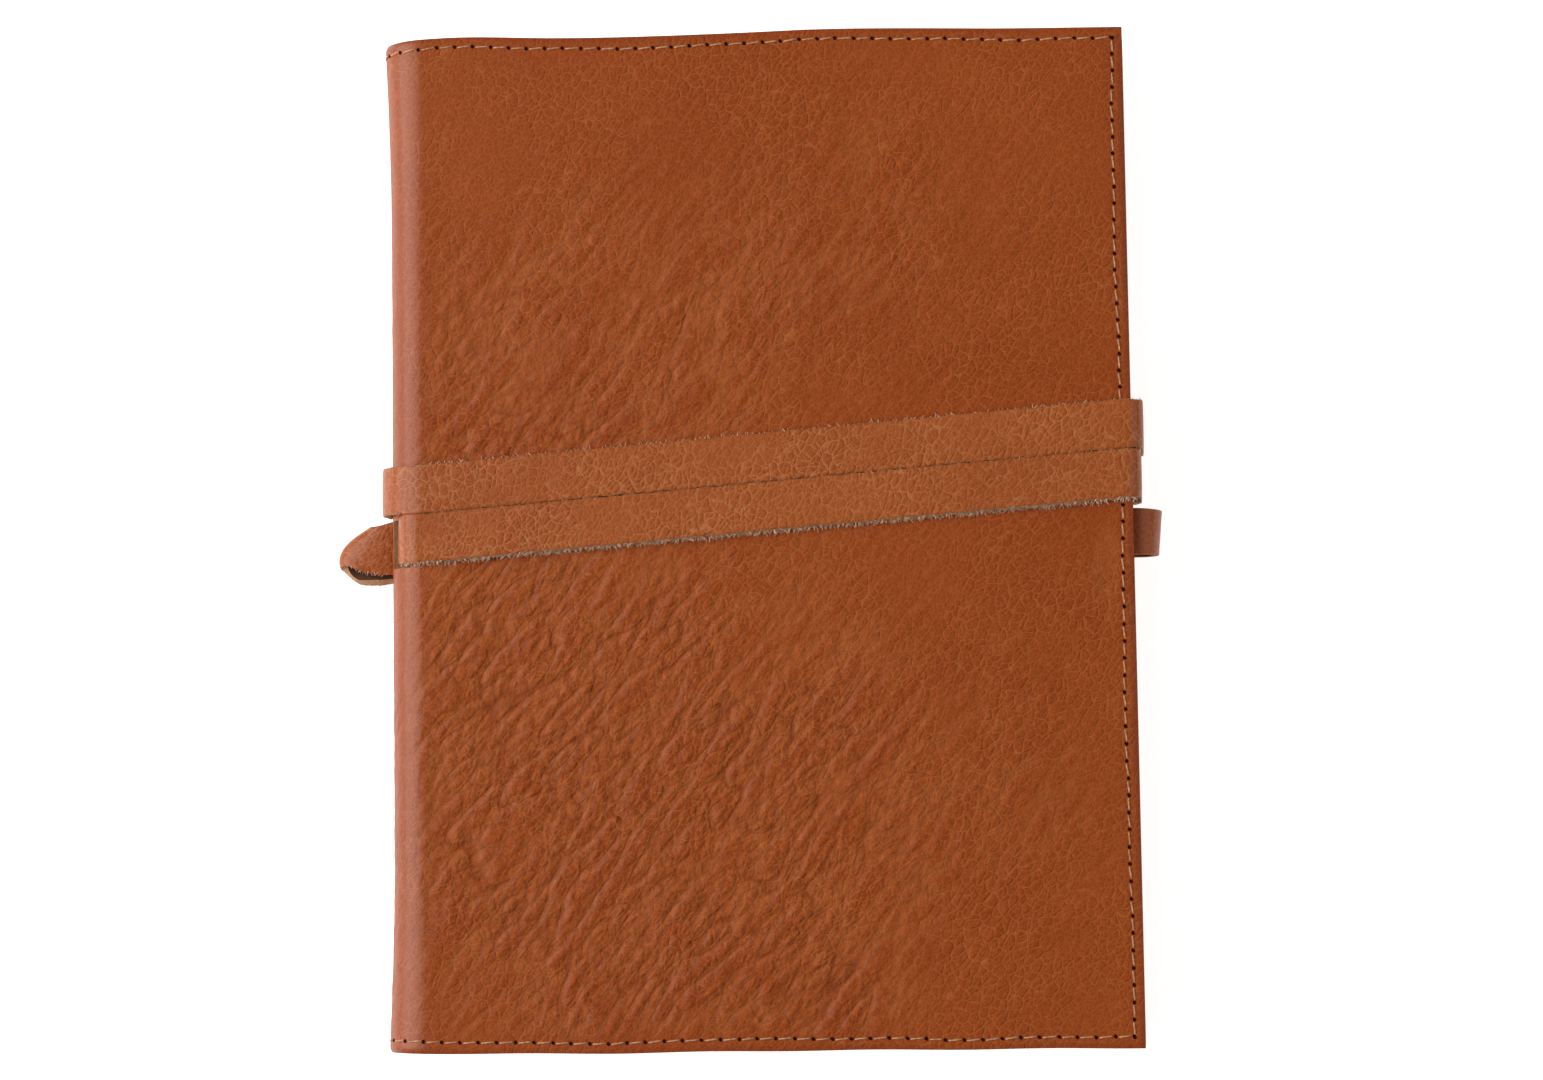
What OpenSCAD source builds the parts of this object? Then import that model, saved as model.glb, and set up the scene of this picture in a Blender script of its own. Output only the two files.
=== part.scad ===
// Refillable leather notebook cover, closed and tied with a long strap that is wound round it twice.
// It lies on its back: +X runs from the rolled spine to the open fore edge, +Y along the height,
// +Z out of the front. The origin is the centre of the box round the part, on the table.

/* [Refill] */
// Width of the refill's leaves, spine to fore edge
refill_width = 148; // [105:1:180]
// Height of the refill's leaves
refill_height = 210; // [148:1:254]
// Thickness of all the refill's leaves together
pages_thickness = 8; // [5:0.5:14]
// Thickness of each of the refill's two boards
board_thickness = 1; // [0.4:0.1:2]
// Folded signatures in each half of the refill
signatures_per_half = 3; // [1:1:5]

/* [Leather] */
// Thickness of the outer hide
hide_thickness = 1.6; // [1.2:0.1:2.4]
// Thickness of the lining glued inside it
lining_thickness = 0.6; // [0.4:0.1:1]
// Rounding of the two corners at the fore edge, in plan
corner_radius = 1.2; // [0.5:0.1:4]
// Angle above and below the middle of the spine at which the cover folds
fold_angle = 36; // [30:1:38]

/* [Sleeves] */
// Width of each inner sleeve, from the fore edge
sleeve_width = 70; // [40:1:90]
// Thickness of the sleeve's leather
sleeve_thickness = 0.8; // [0.5:0.1:1.2]
// Width of the sewn border round each sleeve
lip_width = 4; // [3.6:0.1:8]

/* [Strap] */
// Width of the strap
strap_width = 10.4; // [7:0.1:12.5]
// Thickness of the strap
strap_thickness = 1.8; // [1.2:0.1:2.4]
// Height up the spine at which the strap comes out of its slot
strap_start_y = 1; // [-20:1:5]
// How far the strap climbs on its way across the front
strap_rise = 11.2; // [10:0.1:20]
// Height at which the strap's tail is folded under
tail_y = -1; // [-22:1:3]
// How far the folded tail stands out past the spine
tail_reach = 12.8; // [7:0.1:16]
// Length of the tail tucked back under the cover
tail_tuck = 25; // [10:1:30]
// Slack of the strap where it passes round the fore edge
fore_slack = 1.3; // [0.5:0.1:3]

/* [Pen loop] */
// Diameter of the pen that the loop holds
pen_diameter = 7.8; // [5:0.1:8]
// Thickness of the loop's leather
loop_wall = 1.4; // [1:0.1:2]
// Width of the loop, along the pen
loop_length = 10; // [6:0.5:20]
// Distance of the loop's middle past the fore edge
loop_offset = 1; // [0:0.1:3]
// Height of the loop's middle
loop_y = 0; // [-40:0.5:1]

/* [Stitching] */
// Distance of the stitches from the edge
stitch_margin = 2.4; // [2:0.1:3]
// Length of one stitch along the top and bottom edges
stitch_pitch = 4; // [3:0.1:6]
// Length of one stitch along the fore edge
fore_pitch = 3.7; // [3:0.1:6]
// Thickness of the sewing thread
thread_size = 0.6; // [0.4:0.1:0.8]

/* [Fits] */
// Play of a refill board in its sleeve, above and below
pocket_play = 0.2; // [0.1:0.05:0.5]
// Play of a refill board towards the fore edge
board_play = 0.7; // [0.3:0.1:2]
// Gap between one layer of the strap and the next, and between leaves and sleeve
layer_gap = 0.1; // [0.05:0.05:0.3]
// Gap between the two bands of strap side by side on the front
band_gap = 0.2; // [0.1:0.1:1]
// Play of the strap in its slot, each side
slot_play = 0.3; // [0.1:0.1:1]

/* [Hidden] */
$fn = 64;

// Layers of the cover, as distances from its middle plane, which is also the axis of the rolled spine
pages_top = pages_thickness / 2;
sleeve_low = pages_top + layer_gap;
sleeve_high = sleeve_low + sleeve_thickness;
board_low = sleeve_high + pocket_play;
board_high = board_low + board_thickness;
lining_low = board_high + pocket_play;
hide_low = lining_low + lining_thickness;
roll_radius = hide_low + hide_thickness;
lip_low = lining_low - sleeve_thickness;

// Plan of the cover about its own centre
fore_reach = refill_width + board_play + sleeve_thickness + lip_width;
cover_width = roll_radius + fore_reach;
half_height = refill_height / 2 + pocket_play + sleeve_thickness + lip_width;
fore_x = cover_width / 2;
spine_x = -cover_width / 2;
roll_x = spine_x + roll_radius;

// Strap layers, from the table up
outer_pass_z = 0;
inner_pass_z = strap_thickness + layer_gap;
middle_z = 2 * inner_pass_z + roll_radius;
strap_low = roll_radius + layer_gap;
strap_high = strap_low + strap_thickness;
band_step = strap_width + band_gap;
tail_bend = 1.2;
turn_radius = strap_thickness + fore_slack;
turn_x = fore_x;
tail_radius = strap_thickness + tail_bend;
tail_x = spine_x - tail_reach + tail_radius;

// Slot in the spine, just above the front fold, as angles above the middle of the spine
slot_half = 7;
slot_margin = 2;
slot_angle = fold_angle + slot_margin + slot_half;
leg_half = slot_half - 1;
anchor_thickness = 0.8;
anchor_length = 15;
anchor_play = 0.05;

// Pen loop
loop_room = 2 * lip_low - 4 * layer_gap;
loop_radius = min(pen_diameter / 2 + loop_wall, loop_room / 2);
bore_radius = loop_radius - loop_wall;
loop_x = fore_x + loop_offset;
loop_z = middle_z - lip_low + loop_radius;
tab_gap = 0.2;

// Stitches lie in a groove, each one shorter than its pitch
stitch_share = 0.7;
groove_depth = 0.35;
groove_width = thread_size + 0.2;
thread_height = 0.3;
row_y = half_height - stitch_margin;
row_x = fore_x - stitch_margin;
row_length = row_x - roll_x;
fold_end = 0.3;
fold_from = fold_angle + fold_end;

// Centres the box round the whole part on the origin
part_low = tail_x - tail_radius;
part_high = loop_x + loop_radius;
centre_shift = -(part_low + part_high) / 2;

leather_colour = [0.58, 0.27, 0.13];
lining_colour = [0.45, 0.30, 0.19];
strap_colour = [0.62, 0.33, 0.18];
thread_colour = [0.78, 0.60, 0.44];
board_colour = [0.35, 0.29, 0.24];
paper_colour = [0.93, 0.89, 0.79];

// ---- shared shapes ----

// Puts children drawn about the cover's own centre into the part's frame
module placed() translate([centre_shift, 0, 0]) children();

// Extrudes a section, drawn in X and Z about the axis of the rolled spine, from y0 up to y1
module section(y0, y1)
    translate([roll_x, y1, middle_z]) rotate([90, 0, 0]) linear_extrude(y1 - y0) children();

// Extrudes a section drawn in X and Z from the table up
module table_section(y0, y1)
    translate([0, y1, 0]) rotate([90, 0, 0]) linear_extrude(y1 - y0) children();

// Turns a shape made for the front cover into its twin on the back cover
module back_side() translate([0, 0, 2 * middle_z]) mirror([0, 0, 1]) children();

// Part of a ring round the spine's axis, between two angles above the middle of the spine
module ring_sector(inner, outer, from, to) {
    far = 3 * outer;
    intersection() {
        difference() {
            circle(outer);
            circle(inner);
        }
        polygon(concat([[0, 0]], [for (a = [from, (from + to) / 2, to]) far * [-cos(a), sin(a)]]));
    }
}

// A sheet that lies flat on the front and bends down round the spine as far as an angle
module bent_sheet(inner, outer, from, reach) {
    ring_sector(inner, outer, from, 90);
    translate([0, inner]) square([reach, outer - inner]);
}

// Plan of the cover, rounded at the fore edge only
module cover_plan() {
    translate([spine_x - 1, -half_height])
        square([cover_width + 1 - corner_radius, 2 * half_height]);
    translate([spine_x - 1, corner_radius - half_height])
        square([cover_width + 1, 2 * (half_height - corner_radius)]);
    for (side = [-1, 1])
        translate([fore_x - corner_radius, side * (half_height - corner_radius)])
            circle(corner_radius);
}

// One layer of the front cover, trimmed to the plan
module cover_layer(inner, outer) {
    intersection() {
        section(-half_height, half_height) bent_sheet(inner, outer, fold_from, fore_reach);
        linear_extrude(2 * middle_z) cover_plan();
    }
}

// A band of strap that drifts sideways: its ends stay parallel to the spine
module drifting_band(x0, y0, x1, y1, z0) {
    half = strap_width / 2;
    translate([0, 0, z0]) linear_extrude(strap_thickness)
        polygon([[x0, y0 - half], [x1, y1 - half], [x1, y1 + half], [x0, y0 + half]]);
}

// Rectangle with rounded corners, from (x0, z0) to (x1, z1)
module rounded(x0, z0, x1, z1, radius) {
    translate([x0 + radius, z0]) square([x1 - x0 - 2 * radius, z1 - z0]);
    translate([x0, z0 + radius]) square([x1 - x0, z1 - z0 - 2 * radius]);
    for (x = [x0 + radius, x1 - radius], z = [z0 + radius, z1 - radius])
        translate([x, z]) circle(radius);
}

// The strap's turn round the fore edge, down to one of the two passes on the back
module fore_turn(y, low_z) {
    top = middle_z + strap_high;
    back = turn_x - turn_radius;
    edge = turn_x + turn_radius;
    table_section(y - strap_width / 2, y + strap_width / 2) intersection() {
        difference() {
            rounded(back - turn_radius, low_z, edge, top, turn_radius);
            rounded(back - turn_radius, low_z + strap_thickness, edge - strap_thickness,
                top - strap_thickness, turn_radius - strap_thickness);
        }
        translate([turn_x, low_z]) square([turn_radius, top - low_z]);
    }
}

// Groove for the stitches along the three open edges of the front
module front_groove() {
    for (side = [-1, 1])
        section(side * row_y - groove_width / 2, side * row_y + groove_width / 2)
            bent_sheet(roll_radius - groove_depth, roll_radius + 1, fold_from, row_length);
    translate([row_x - groove_width / 2, -row_y, middle_z + roll_radius - groove_depth])
        cube([groove_width, 2 * row_y, groove_depth + 1]);
}

// Stitches on the rolled spine, between two angles, along the top and bottom edges
module arc_stitches(from, to) {
    low = roll_radius - groove_depth;
    count = max(1, floor(roll_radius * (to - from) * PI / 180 / stitch_pitch));
    step = (to - from) / count;
    for (side = [-1, 1], i = [0 : count - 1])
        section(side * row_y - thread_size / 2, side * row_y + thread_size / 2)
            ring_sector(low, low + thread_height, from + step * (i + 0.5 - stitch_share / 2),
                from + step * (i + 0.5 + stitch_share / 2));
}

// Stitches of the front cover: flat rows along the top and bottom, the fore edge, and the roll
module front_stitches() {
    low_z = middle_z + roll_radius - groove_depth;
    count = floor(row_length / stitch_pitch);
    fore_count = floor(2 * row_y / fore_pitch);
    long = stitch_share * stitch_pitch;
    fore_long = stitch_share * fore_pitch;
    for (side = [-1, 1], i = [0 : count - 1])
        translate([row_x - (i + 0.5) * row_length / count - long / 2,
            side * row_y - thread_size / 2, low_z])
            cube([long, thread_size, thread_height]);
    for (i = [0 : fore_count - 1])
        translate([row_x - thread_size / 2,
            -row_y + (i + 0.5) * 2 * row_y / fore_count - fore_long / 2, low_z])
            cube([thread_size, fore_long, thread_height]);
    arc_stitches(fold_from + fold_end, 90);
}

// Sleeve of the front cover: a flat panel that steps down to a sewn border on three sides
module front_sleeve() {
    step_x = fore_x - lip_width;
    step_y = half_height - lip_width;
    open_x = fore_x - sleeve_width;
    difference() {
        union() {
            intersection() {
                translate([open_x, -half_height, middle_z + lip_low])
                    cube([sleeve_width, 2 * half_height, sleeve_thickness]);
                linear_extrude(2 * middle_z) cover_plan();
            }
            translate([open_x, -step_y, middle_z + sleeve_low])
                cube([step_x - open_x, 2 * step_y, lining_low - sleeve_low]);
        }
        translate([open_x - 1, sleeve_thickness - step_y, middle_z + sleeve_high])
            cube([step_x - open_x - sleeve_thickness + 1, 2 * (step_y - sleeve_thickness),
                lining_low - sleeve_high + 1]);
    }
}

// One board of the refill, in the front sleeve
module front_board()
    translate([roll_x, -refill_height / 2, middle_z + board_low])
        cube([refill_width, refill_height, board_thickness]);

// Upper half of the refill: folded signatures, each with a round back
module front_pages() {
    thick = pages_top / signatures_per_half - layer_gap / 2;
    for (i = [0 : signatures_per_half - 1])
        section(-refill_height / 2, refill_height / 2)
            translate([0, layer_gap / 2 + i * (thick + layer_gap / 2)]) {
                translate([thick / 2, thick / 2]) circle(thick / 2);
                translate([thick / 2, 0]) square([refill_width - thick / 2, thick]);
            }
}

// ---- sub-parts ----

module hide_back() color(leather_colour) placed() back_side() difference() {
    cover_layer(hide_low, roll_radius);
    front_groove();
}

module hide_spine() color(leather_colour) placed() difference() {
    section(-half_height, half_height)
        ring_sector(hide_low, roll_radius, -fold_angle, fold_angle);
    for (side = [-1, 1])
        section(side * row_y - groove_width / 2, side * row_y + groove_width / 2)
            ring_sector(roll_radius - groove_depth, roll_radius + 1, -fold_angle - 1, fold_angle + 1);
}

module hide_front() color(leather_colour) placed() {
    half_slot = strap_width / 2 + slot_play;
    difference() {
        cover_layer(hide_low, roll_radius);
        front_groove();
        section(strap_start_y - half_slot, strap_start_y + half_slot)
            ring_sector(hide_low - 1, roll_radius + 1, slot_angle - slot_half, slot_angle + slot_half);
        section(strap_start_y - half_slot, strap_start_y + half_slot)
            bent_sheet(hide_low - 1, hide_low + anchor_thickness + anchor_play, slot_angle,
                anchor_length + slot_play);
    }
}

module lining_back() color(lining_colour) placed() back_side() cover_layer(lining_low, hide_low);

module lining_spine() color(lining_colour) placed()
    section(-half_height, half_height) ring_sector(lining_low, hide_low, -fold_angle, fold_angle);

module lining_front() color(lining_colour) placed() cover_layer(lining_low, hide_low);

module sleeve_back() color(leather_colour) placed() back_side() front_sleeve();

module sleeve_front() color(leather_colour) placed() front_sleeve();

module refill_back_board() color(board_colour) placed() back_side() front_board();

module refill_front_board() color(board_colour) placed() front_board();

module pages_back() color(paper_colour) placed() back_side() front_pages();

module pages_front() color(paper_colour) placed() front_pages();

// A strip of leather looped round the pen, sewn down on the border of the back sleeve
module pen_loop() color(leather_colour) placed() {
    tab_x = fore_x - lip_width + tab_gap;
    table_section(loop_y - loop_length / 2, loop_y + loop_length / 2) difference() {
        union() {
            translate([loop_x, loop_z]) circle(loop_radius);
            translate([tab_x, loop_z - loop_radius]) square([loop_x - tab_x, loop_wall]);
        }
        translate([loop_x, loop_z]) circle(bore_radius);
    }
}

module thread_back() color(thread_colour) placed() back_side() front_stitches();

module thread_spine() color(thread_colour) placed() arc_stitches(-fold_angle, fold_angle);

module thread_front() color(thread_colour) placed() front_stitches();

// The strap's thinned end, glued in between the hide and the lining
module strap_anchor() color(strap_colour) placed()
    section(strap_start_y - strap_width / 2, strap_start_y + strap_width / 2)
        bent_sheet(hide_low, hide_low + anchor_thickness, slot_angle + slot_half, anchor_length);

// First band on the front: out of the slot, up over the spine and across
module strap_front_lower() color(strap_colour) placed() {
    section(strap_start_y - strap_width / 2, strap_start_y + strap_width / 2) {
        ring_sector(strap_low, strap_high, slot_angle - leg_half, 90);
        ring_sector(hide_low + layer_gap, strap_high, slot_angle - leg_half,
            slot_angle + leg_half);
    }
    drifting_band(roll_x, strap_start_y, turn_x, strap_start_y + strap_rise,
        middle_z + strap_low);
}

module strap_fore_lower() color(strap_colour) placed()
    fore_turn(strap_start_y + strap_rise, inner_pass_z);

module strap_back_inner() color(strap_colour) placed()
    drifting_band(roll_x, strap_start_y + band_step, turn_x, strap_start_y + strap_rise,
        inner_pass_z);

module strap_spine_turn() color(strap_colour) placed() {
    y = strap_start_y + band_step;
    section(y - strap_width / 2, y + strap_width / 2)
        ring_sector(strap_low, strap_high, -90, 90);
}

// Second band on the front, beside the first
module strap_front_upper() color(strap_colour) placed()
    drifting_band(roll_x, strap_start_y + band_step, turn_x,
        strap_start_y + strap_rise + band_step, middle_z + strap_low);

module strap_fore_upper() color(strap_colour) placed()
    fore_turn(strap_start_y + strap_rise + band_step, outer_pass_z);

module strap_back_outer() color(strap_colour) placed()
    drifting_band(roll_x, tail_y, turn_x, strap_start_y + strap_rise + band_step, outer_pass_z);

// The tail: out past the spine, folded over itself and tucked under the back cover
module strap_tail() color(strap_colour) placed() {
    knee_x = roll_x - strap_thickness;
    end_x = roll_x + tail_tuck;
    top = 2 * tail_radius;
    tuck_low = inner_pass_z;
    tuck_high = inner_pass_z + strap_thickness;
    table_section(tail_y - strap_width / 2, tail_y + strap_width / 2) {
        intersection() {
            translate([tail_x, tail_radius]) difference() {
                circle(tail_radius);
                circle(tail_radius - strap_thickness);
            }
            translate([tail_x - tail_radius, 0]) square([tail_radius, top]);
        }
        translate([tail_x, 0]) square([roll_x - tail_x, strap_thickness]);
        polygon([[tail_x, top - strap_thickness], [knee_x, tuck_low], [end_x, tuck_low],
            [end_x, tuck_high], [knee_x, tuck_high], [tail_x, top]]);
    }
}

hide_back();
hide_spine();
hide_front();
lining_back();
lining_spine();
lining_front();
sleeve_back();
sleeve_front();
refill_back_board();
refill_front_board();
pages_back();
pages_front();
pen_loop();
thread_back();
thread_spine();
thread_front();
strap_anchor();
strap_front_lower();
strap_fore_lower();
strap_back_inner();
strap_spine_turn();
strap_front_upper();
strap_fore_upper();
strap_back_outer();
strap_tail();
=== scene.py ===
# %% [markdown]
# # A leather notebook cover, bound with its own strap
#
# The book lies on its back. One piece of waxed leather makes the back cover, the rolled spine and the front
# cover. A long strap comes out of a slot in the spine, goes twice round the closed book and tucks its tail
# under the spine.

# %% Load the frame
import math
import random

import bpy
from mathutils import Matrix, Vector, noise


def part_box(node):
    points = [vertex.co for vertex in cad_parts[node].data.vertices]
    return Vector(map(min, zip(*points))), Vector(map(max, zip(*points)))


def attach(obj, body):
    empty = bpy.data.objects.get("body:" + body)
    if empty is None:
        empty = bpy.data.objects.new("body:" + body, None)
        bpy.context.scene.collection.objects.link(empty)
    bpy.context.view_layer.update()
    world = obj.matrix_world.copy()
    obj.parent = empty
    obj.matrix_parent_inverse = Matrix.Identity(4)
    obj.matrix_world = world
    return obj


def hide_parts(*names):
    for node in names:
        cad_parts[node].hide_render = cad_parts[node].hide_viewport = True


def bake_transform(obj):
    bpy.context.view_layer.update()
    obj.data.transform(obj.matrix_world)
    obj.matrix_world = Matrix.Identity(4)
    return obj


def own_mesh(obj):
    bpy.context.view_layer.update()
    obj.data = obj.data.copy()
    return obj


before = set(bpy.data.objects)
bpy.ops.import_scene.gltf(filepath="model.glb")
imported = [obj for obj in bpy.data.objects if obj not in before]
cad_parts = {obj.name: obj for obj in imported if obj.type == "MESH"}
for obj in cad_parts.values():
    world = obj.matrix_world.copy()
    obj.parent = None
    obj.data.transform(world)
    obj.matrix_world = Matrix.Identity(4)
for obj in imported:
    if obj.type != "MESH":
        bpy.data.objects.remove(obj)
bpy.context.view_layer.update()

# %% [markdown]
# ## The sizes that everything shares
#
# The cover's cross-section is two flat boards of leather joined by half a roll. Its top, underside and fore
# edge come from the boxes of the CAD nodes, and the roll's axis is where the leaves begin.

# %% Shared sizes
MM = 0.001
TOP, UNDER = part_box("hide_front")[1].z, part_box("hide_back")[0].z
MID, ROLL = (TOP + UNDER) / 2, (TOP - UNDER) / 2
ROLL_X, FORE_X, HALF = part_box("pages_front")[0].x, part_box("hide_front")[1].x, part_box("hide_front")[1].y
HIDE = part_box("lining_back")[0].z - UNDER
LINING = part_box("sleeve_back")[0].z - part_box("lining_back")[0].z
WIDE = FORE_X - ROLL_X
ROUND = math.pi * ROLL
rng = random.Random(7)
noise.seed_set(7)
print("cover", round(WIDE / MM, 2), "x", round(2 * HALF / MM, 2), "roll radius", round(ROLL / MM, 2), "hide", round(HIDE / MM, 2))

# %% [markdown]
# ## Camera
#
# The camera looks nearly straight down with a long lens, so the cover stays almost a rectangle. A camera this
# close to straight down has no steady idea of "up", so its frame is built by hand: up the page is +Y, and the
# camera is then turned by a small angle about its own line of sight.

# %% Camera
EYE = Vector((88.25, -71.8, 914.3)) * MM
AIM = Vector((6.58, -0.77, 20.8)) * MM
LEAN = math.radians(-0.66)
sight = (AIM - EYE).normalized()
aside = sight.cross(Vector((0, 1, 0))).normalized()
above = aside.cross(sight)
aside, above = aside * math.cos(LEAN) + above * math.sin(LEAN), above * math.cos(LEAN) - aside * math.sin(LEAN)
camera = bpy.data.objects.new("camera", bpy.data.cameras.new("camera"))
camera.matrix_world = Matrix.LocRotScale(EYE, Matrix((aside, above, -sight)).transposed().to_quaternion(), None)
camera.data.lens = 97.36
bpy.context.scene.collection.objects.link(camera)
bpy.context.scene.camera = camera
bpy.context.scene.view_settings.view_transform = "Standard"
print("camera", round((EYE - AIM).length, 3), "m from the book")

# %% [markdown]
# ## A finish, written as sums
#
# A material is a graph of nodes, but a pattern is easier to read as arithmetic. `Wire` wraps one socket and
# turns + - * / into Math nodes. `Finish` owns a material and makes every other kind of node with one method.

# %% Materials as arithmetic
class Wire:
    def __init__(self, finish, socket):
        self.finish, self.socket = finish, socket

    def maths(self, operation, *others):
        return self.finish.node("Math", {"operation": operation}, {i: v for i, v in enumerate((self, *others))})

    def __add__(self, other):
        return self.maths("ADD", other)

    def __sub__(self, other):
        return self.maths("SUBTRACT", other)

    def __mul__(self, other):
        return self.maths("MULTIPLY", other)

    def __truediv__(self, other):
        return self.maths("DIVIDE", other)

    def __rsub__(self, other):
        return self.finish.node("Math", {"operation": "SUBTRACT"}, {0: other, 1: self})

    __radd__, __rmul__ = __add__, __mul__

    def clamp(self):
        return self.finish.node("Clamp", {}, {"Value": self})

    def ramp(self, low, high):
        """0 below low and 1 above high, with a soft start and end."""
        return self.finish.node("MapRange", {"interpolation_type": "SMOOTHSTEP"},
                                {"Value": self, "From Min": low, "From Max": high})


class Finish:
    def __init__(self, name):
        self.material = bpy.data.materials.new(name)
        self.material.use_nodes = True
        self.tree = self.material.node_tree
        self.shader = self.tree.nodes["Principled BSDF"]

    def node(self, kind, settings={}, inputs={}, output=0):
        made = self.tree.nodes.new("ShaderNode" + kind)
        for key, value in settings.items():
            setattr(made, key, value)
        for key, value in inputs.items():
            self.plug(made.inputs[key], value)
        return Wire(self, made.outputs[output])

    def plug(self, socket, value):
        if isinstance(value, Wire):
            self.tree.links.new(value.socket, socket)
        else:
            socket.default_value = value

    def mix(self, amount, low, high):
        made = self.tree.nodes.new("ShaderNodeMix")
        made.data_type = "RGBA"
        for socket, value in zip((made.inputs[0], made.inputs[6], made.inputs[7]), (amount, low, high)):
            self.plug(socket, (*value, 1) if isinstance(value, tuple) else value)
        return Wire(self, made.outputs[2])

    def place(self, attribute=None, stretch=(1, 1, 1), turn=0):
        """Where a point is, in metres: the object's own coordinates, or those an attribute keeps."""
        if attribute:
            found = self.node("Attribute", {"attribute_name": attribute}, {}, "Vector")
        else:
            found = self.node("TexCoord", {}, {}, "Object")
        return self.node("Mapping", {}, {"Vector": found, "Scale": stretch, "Rotation": (0, 0, turn)})

    def value(self, attribute):
        return self.node("Attribute", {"attribute_name": attribute}, {}, "Fac")

    def cloud(self, where, scale, detail=2, rough=0.5, distortion=0):
        return self.node("TexNoise", {}, {"Vector": where, "Scale": scale, "Detail": detail, "Roughness": rough,
                                          "Distortion": distortion})

    def bend(self, where, scale, amount):
        """The place moved about by a cloud, so that a pattern loses its straight lines."""
        drift = self.node("TexNoise", {}, {"Vector": where, "Scale": scale, "Detail": 2}, 1)
        return self.node("VectorMath", {"operation": "MULTIPLY_ADD"}, {0: drift, 1: (amount, amount, amount), 2: where})

    def drawn(self, where, longer, lean):
        """The place turned by the lean, in degrees, and made longer along it."""
        return self.node("Mapping", {"vector_type": "TEXTURE"},
                         {"Vector": where, "Scale": (longer, 1, 1), "Rotation": (0, 0, math.radians(lean))})

    def cells(self, where, scale, feature="F1", output="Distance"):
        return self.node("TexVoronoi", {"feature": feature}, {"Vector": where, "Scale": scale}, output)

    def bump(self, height, distance, strength=1.0, normal=None):
        inputs = {"Height": height, "Distance": distance, "Strength": strength}
        if normal:
            inputs["Normal"] = normal
        return self.node("Bump", {}, inputs)

    def end(self, **sockets):
        for name, value in sockets.items():
            socket = self.shader.inputs[name.replace("_", " ")]
            self.plug(socket, (*value, 1) if isinstance(value, tuple) and len(value) == 3 and socket.type == "RGBA" else value)
        return self.material


print("finish helpers ready")

# %% [markdown]
# ## Floor, lights and air
#
# The book lies on plain white paper. One big window stands to its left, so that the wrinkles throw soft shade to
# the right and the rolled spine, which is rubbed smooth, mirrors it. A faint room light fills the fore edge. The
# paper also glows a little, which keeps it white without more light on the leather.

# %% Floor, lights and air
bpy.ops.mesh.primitive_plane_add(size=8, location=(0, 0, 0))
floor = bpy.context.object
floor.name = "floor"
paper_white = Finish("studio floor")
floor.data.materials.append(paper_white.end(Base_Color=(0.85, 0.85, 0.85), Roughness=0.9, Emission_Color=(1, 1, 1),
                                            Emission_Strength=0.75, Specular_IOR_Level=0.1))


def softbox(name, place, size, power, tint):
    lamp = bpy.data.lights.new(name, "AREA")
    lamp.shape, lamp.size, lamp.size_y, lamp.energy, lamp.color = "RECTANGLE", size[0], size[1], power, tint
    holder = bpy.data.objects.new(name, lamp)
    holder.location = place
    holder.rotation_euler = (-Vector(place)).to_track_quat("-Z", "Y").to_euler()
    bpy.context.scene.collection.objects.link(holder)


softbox("room_light", (1.05, 0.25, 1.15), (1.3, 1.6), 6, (1.0, 0.99, 0.98))
softbox("window_light", (-1.17, 0.12, 0.96), (1.66, 1.7), 37, (1.0, 0.99, 0.98))
air = bpy.data.worlds.new("studio")
air.use_nodes = True
air.node_tree.nodes["Background"].inputs["Color"].default_value = (1, 1, 1, 1)
air.node_tree.nodes["Background"].inputs["Strength"].default_value = 0.18
bpy.context.scene.world = air

# %% [markdown]
# ## Small tools for modelling
#
# Every operator works on what is selected, so each piece starts with nothing selected. `pick` goes through
# faces, edges or points and selects those whose place passes a test, as clicking them would.

# %% Modelling tools
def nothing():
    if bpy.context.object and bpy.context.object.mode != "OBJECT":
        bpy.ops.object.mode_set(mode="OBJECT")
    bpy.ops.object.select_all(action="DESELECT")


def settle(name):
    """Names the new object and puts its place, turn and scale into its mesh."""
    piece = bpy.context.object
    piece.name = piece.data.name = name
    bpy.ops.object.transform_apply(location=True, rotation=True, scale=True)
    return piece


def pick(piece, test, what="FACE"):
    """Selects what passes the test, by its middle, and leaves the piece in edit mode."""
    bpy.ops.object.mode_set(mode="EDIT")
    bpy.ops.mesh.select_mode(type=what)
    bpy.ops.mesh.select_all(action="DESELECT")
    bpy.ops.object.mode_set(mode="OBJECT")
    mesh = piece.data
    if what == "FACE":
        for face in mesh.polygons:
            face.select = bool(test(face.center))
    elif what == "EDGE":
        for edge in mesh.edges:
            edge.select = bool(test((mesh.vertices[edge.vertices[0]].co + mesh.vertices[edge.vertices[1]].co) / 2))
    else:
        for point in mesh.vertices:
            point.select = bool(test(point.co))
    bpy.ops.object.mode_set(mode="EDIT")


def modify(piece, kind, **settings):
    """Adds a modifier, sets it and applies it."""
    bpy.context.view_layer.objects.active = piece
    added = piece.modifiers.new(kind.lower(), kind)
    for key, value in settings.items():
        setattr(added, key, value)
    bpy.ops.object.modifier_apply(modifier=added.name)


def dress(piece, *materials):
    piece.data.materials.clear()
    for material in materials:
        piece.data.materials.append(material)


def keep(piece, name, kind, values):
    """Stores one value a point, so that a finish can read it later."""
    attribute = piece.data.attributes.new(name, kind, "POINT")
    flat = [part for value in values for part in value] if kind == "FLOAT_VECTOR" else values
    attribute.data.foreach_set("vector" if kind == "FLOAT_VECTOR" else "value", flat)


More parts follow.
